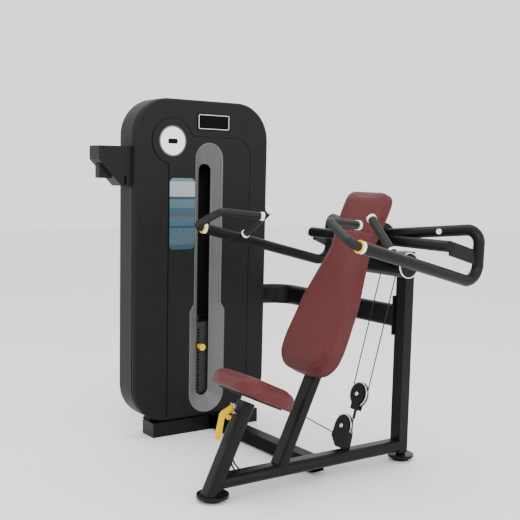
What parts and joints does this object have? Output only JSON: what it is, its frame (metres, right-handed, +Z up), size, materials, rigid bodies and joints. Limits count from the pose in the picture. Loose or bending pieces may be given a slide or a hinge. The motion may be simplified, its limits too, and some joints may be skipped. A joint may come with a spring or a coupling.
{
  "type": "shoulder press machine",
  "caption": "Pin-loaded shoulder press machine: a rounded weight tower at one side, a leaning seat and back cushion, and two looped press arms on a cross axle.",
  "frame": {"origin": "middle of the whole machine's footprint, on the floor", "axes": "+X from the weight tower towards the free side, +Y from the seat's front towards the rear, +Z up"},
  "size_m": [1.4677, 1.0483, 1.5],
  "materials": {
    "frame_paint": "satin dark charcoal powder coat",
    "beam_paint": "satin black powder coat",
    "shell": "fine textured charcoal",
    "trim": "satin mid gray",
    "white_plastic": "smooth white",
    "dark_plate": "smooth black",
    "placard": "printed plain colour bands",
    "chrome": "polished",
    "plates": "dark painted",
    "rubber": "dull black",
    "yellow_plastic": "yellow",
    "yellow_paint": "yellow",
    "bright_steel": "zinc plated",
    "pulley": "black nylon",
    "cushion": "maroon vinyl",
    "grip": "fine ribbed black"
  },
  "bodies": {
    "frame": {"tower_base": "frame_paint", "tower_frame": "frame_paint", "shell_near": "shell", "shell_far": "shell", "slot_trim": "trim", "label_disc": "white_plastic", "name_plate": "dark_plate", "placard": "placard", "accessory_holder": "shell", "guide_rods": "chrome", "stack_bumpers": "rubber", "resting_plates": "plates", "top_pulley_bracket": "frame_paint", "base_pulley_bracket": "frame_paint", "bench_cable": "rubber", "base_tube": "frame_paint", "foot_plates": "frame_paint", "foot_pads": "rubber", "seat_post": "frame_paint", "back_post": "frame_paint", "rear_upright": "frame_paint", "post_gusset": "frame_paint", "floor_beam": "beam_paint", "mid_beam": "frame_paint", "beam_bolts": "bright_steel", "lever_mount": "bright_steel", "back_plate": "frame_paint", "back_pad": "cushion", "axle_bracket": "frame_paint", "cross_axle": "bright_steel", "head_housing": "frame_paint", "head_rings": "white_plastic", "guide_shaft": "bright_steel", "arm_cable": "rubber", "lower_bracket": "frame_paint"},
    "stack": {"lifted_plates": "plates", "head_plate": "plates", "selector_stem": "chrome"},
    "pin": {"selector_pin": "yellow_plastic"},
    "seat": {"seat_stem": "chrome", "seat_plate": "frame_paint", "seat_pad": "cushion"},
    "lever": {"seat_lever": "yellow_paint"},
    "latch": {"latch_pin": "bright_steel"},
    "right_press": {"right_arm": "frame_paint", "right_grips": "grip", "right_collars": "white_plastic"},
    "left_press": {"left_arm": "frame_paint", "left_grips": "grip", "left_collars": "white_plastic", "left_hub_cap": "white_plastic"},
    "floating": {"floating_fork": "frame_paint"},
    "floating_wheel": {"floating_pulley": "pulley"},
    "right_guide": {"right_guide_pulley": "pulley"},
    "left_guide": {"left_guide_pulley": "pulley"},
    "lower_wheel": {"lower_pulley": "pulley"},
    "base_wheel": {"base_pulley": "pulley"},
    "top_wheel_a": {"top_pulley_a": "pulley"},
    "top_wheel_b": {"top_pulley_b": "pulley"}
  },
  "joints": [
    {"name": "press_right", "type": "hinge", "parent": "frame", "child": "right_press", "pos_m": [0.458, 0.282, 0.939], "axis": [-1, 0, 0], "range_deg": [0, 70]},
    {"name": "press_left", "type": "hinge", "parent": "frame", "child": "left_press", "pos_m": [-0.022, 0.282, 0.939], "axis": [-1, 0, 0], "range_deg": [0, 70]},
    {"name": "stack_lift", "type": "slide", "parent": "frame", "child": "stack", "axis": [0, 0, 1], "range_m": [0, 0.0811], "deforming": ["bench_cable"]},
    {"name": "pin_pull", "type": "slide", "parent": "stack", "child": "pin", "axis": [1, 0, 0], "range_m": [0, 0.13]},
    {"name": "seat_height", "type": "slide", "parent": "frame", "child": "seat", "axis": [0, 0.4226, 0.9063], "range_m": [-0.012, 0.1]},
    {"name": "lever_turn", "type": "hinge", "parent": "frame", "child": "lever", "pos_m": [0.218, -0.36625, 0.33599], "axis": [-1, 0, 0], "range_deg": [0, 35], "stiffness_Nm_per_rad": 0.5, "springref_deg": -22.92},
    {"name": "latch_slide", "type": "slide", "parent": "frame", "child": "latch", "axis": [0, -0.9063, 0.4226], "range_m": [0, 0.0102]},
    {"name": "float_rise", "type": "slide", "parent": "frame", "child": "floating", "axis": [0, 0.2634, 0.9647], "range_m": [0, 0.0811], "deforming": ["arm_cable"]},
    {"name": "float_spin", "type": "hinge", "parent": "floating", "child": "floating_wheel", "pos_m": [0.218, 0.2289, 0.31001], "axis": [0, 0.9647, -0.2634], "continuous": true},
    {"name": "guide_spin_right", "type": "hinge", "parent": "frame", "child": "right_guide", "pos_m": [0.263, 0.342, 0.842], "axis": [1, 0, 0], "range_deg": [0, 149.5]},
    {"name": "guide_spin_left", "type": "hinge", "parent": "frame", "child": "left_guide", "pos_m": [0.173, 0.342, 0.842], "axis": [1, 0, 0], "range_deg": [0, 149.5]},
    {"name": "lower_spin", "type": "hinge", "parent": "frame", "child": "lower_wheel", "pos_m": [0.173, 0.1915, 0.17302], "axis": [0, -0.9647, 0.2634], "range_deg": [0, 103.2]},
    {"name": "base_spin", "type": "hinge", "parent": "frame", "child": "base_wheel", "pos_m": [-0.644, 0.1797, 0.2514], "axis": [0, -1, 0], "range_deg": [0, 128.8]},
    {"name": "top_spin_a", "type": "hinge", "parent": "frame", "child": "top_wheel_a", "pos_m": [-0.68, 0.1397, 1.33], "axis": [-1, 0, 0], "range_deg": [0, 116]},
    {"name": "top_spin_b", "type": "hinge", "parent": "frame", "child": "top_wheel_b", "pos_m": [-0.68, 0.033, 1.33], "axis": [-1, 0, 0], "range_deg": [0, 116]}
  ],
  "couplings": [
    {"joint": "press_left", "follows": "press_right", "ratio": 1},
    {"joint": "stack_lift", "follows": "press_right", "m_per_rad": 0.066},
    {"joint": "float_rise", "follows": "press_right", "m_per_rad": 0.066},
    {"joint": "guide_spin_right", "follows": "press_right", "ratio": 2.129},
    {"joint": "guide_spin_left", "follows": "press_right", "ratio": 2.129},
    {"joint": "lower_spin", "follows": "press_right", "ratio": 1.4667},
    {"joint": "base_spin", "follows": "press_right", "ratio": 1.8333},
    {"joint": "top_spin_a", "follows": "press_right", "ratio": 1.65},
    {"joint": "top_spin_b", "follows": "press_right", "ratio": 1.65},
    {"joint": "latch_slide", "follows": "lever_turn", "m_per_rad": 0.016}
  ]
}
